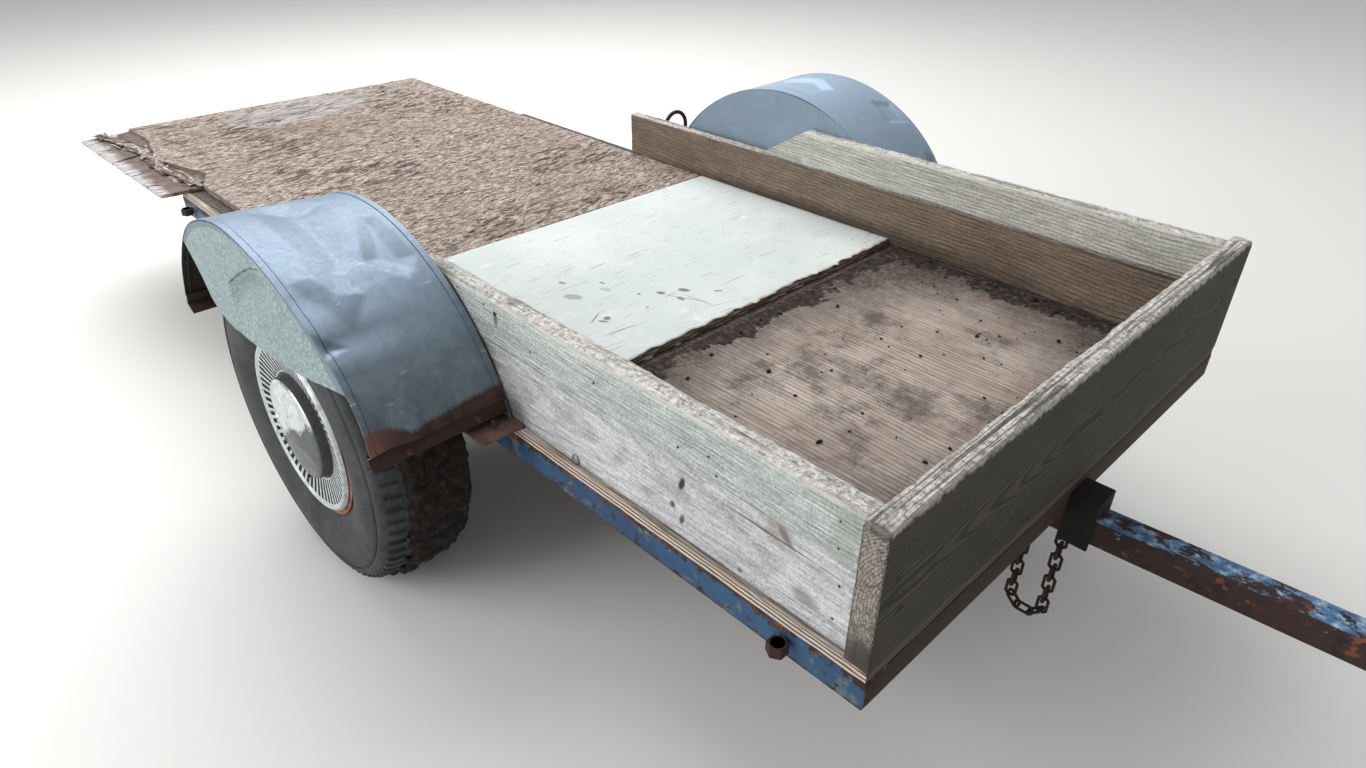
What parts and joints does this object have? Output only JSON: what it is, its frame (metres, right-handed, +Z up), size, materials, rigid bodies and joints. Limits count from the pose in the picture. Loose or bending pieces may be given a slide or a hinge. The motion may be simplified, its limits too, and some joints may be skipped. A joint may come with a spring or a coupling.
{
  "type": "utility trailer",
  "caption": "Single-axle farm utility trailer with plywood bed, plank sides, half-round fenders, square tongue, coupler and swivel jack.",
  "frame": {"origin": "on the ground under the middle of the trailer's box, between the wheels' sides", "axes": "+X forward to the coupler, +Y to the trailer's left, +Z up"},
  "size_m": [4.2709, 1.734, 0.7642],
  "materials": {
    "blue_steel": "flaking blue paint over rust",
    "galvanised": "spangled zinc, dulled",
    "brown_steel": "rust",
    "chain_steel": "rust",
    "floor_ply": "dirt-covered plywood",
    "weathered_ply": "checked weathered plywood",
    "mint_paint": "pale flaking paint on plywood",
    "plank": "weathered softwood with worn paint",
    "tyre_rubber": "matte with dried mud",
    "rim_steel": "rust",
    "cover_chrome": "scuffed chrome",
    "red_lens": "red lens",
    "tongue_paint": "rust red with flaking blue",
    "zinc_steel": "dull zinc"
  },
  "bodies": {
    "trailer": {"frame_rail_left": "blue_steel", "frame_rail_right": "blue_steel", "frame_rail_front": "blue_steel", "frame_rail_rear": "blue_steel", "cross_members": "blue_steel", "fender_band_left": "galvanised", "fender_band_right": "galvanised", "fender_skirt_left": "galvanised", "fender_skirt_right": "galvanised", "fender_inner_plate_left": "galvanised", "fender_inner_plate_right": "galvanised", "fender_brackets_left": "brown_steel", "fender_brackets_right": "brown_steel", "fender_straps_left": "brown_steel", "fender_straps_right": "brown_steel", "tongue_bracket": "brown_steel", "tongue_rear_cheeks": "brown_steel", "tie_nuts": "brown_steel", "rope_loop": "brown_steel", "axle": "brown_steel", "spring_left": "brown_steel", "spring_right": "brown_steel", "spring_hangers": "brown_steel", "spring_shackles": "brown_steel", "axle_clamps": "brown_steel", "chain_staples": "brown_steel", "safety_chain": "chain_steel", "floor_panel": "floor_ply", "rear_deck_sheet": "weathered_ply", "rear_deck_flap": "weathered_ply", "floor_patch_panel": "mint_paint", "front_board": "plank", "side_board_right_lower": "plank", "side_board_right_upper": "plank", "side_board_left_lower": "plank", "side_board_left_upper": "plank", "reflector_left": "red_lens", "reflector_right": "red_lens", "tongue": "tongue_paint", "coupler": "zinc_steel", "coupler_latch": "zinc_steel", "jack_mount": "zinc_steel"},
    "wheel_left": {"tyre_left": "tyre_rubber", "rim_left": "rim_steel", "wheel_cover_left": "cover_chrome", "hub_left": "brown_steel"},
    "wheel_right": {"tyre_right": "tyre_rubber", "rim_right": "rim_steel", "wheel_cover_right": "cover_chrome", "hub_right": "brown_steel"},
    "jack": {"jack_tube": "zinc_steel", "jack_leg": "zinc_steel", "jack_crank": "zinc_steel"}
  },
  "joints": [
    {"name": "wheel_left_spin", "type": "hinge", "parent": "trailer", "child": "wheel_left", "pos_m": [-0.185, 0.745, 0.345], "axis": [0, 1, 0], "continuous": true},
    {"name": "wheel_right_spin", "type": "hinge", "parent": "trailer", "child": "wheel_right", "pos_m": [-0.185, -0.745, 0.345], "axis": [0, 1, 0], "continuous": true},
    {"name": "jack_swivel", "type": "hinge", "parent": "trailer", "child": "jack", "pos_m": [1.735, 0.0795, 0.4037], "axis": [0, 1, 0], "range_deg": [0, 90]}
  ]
}
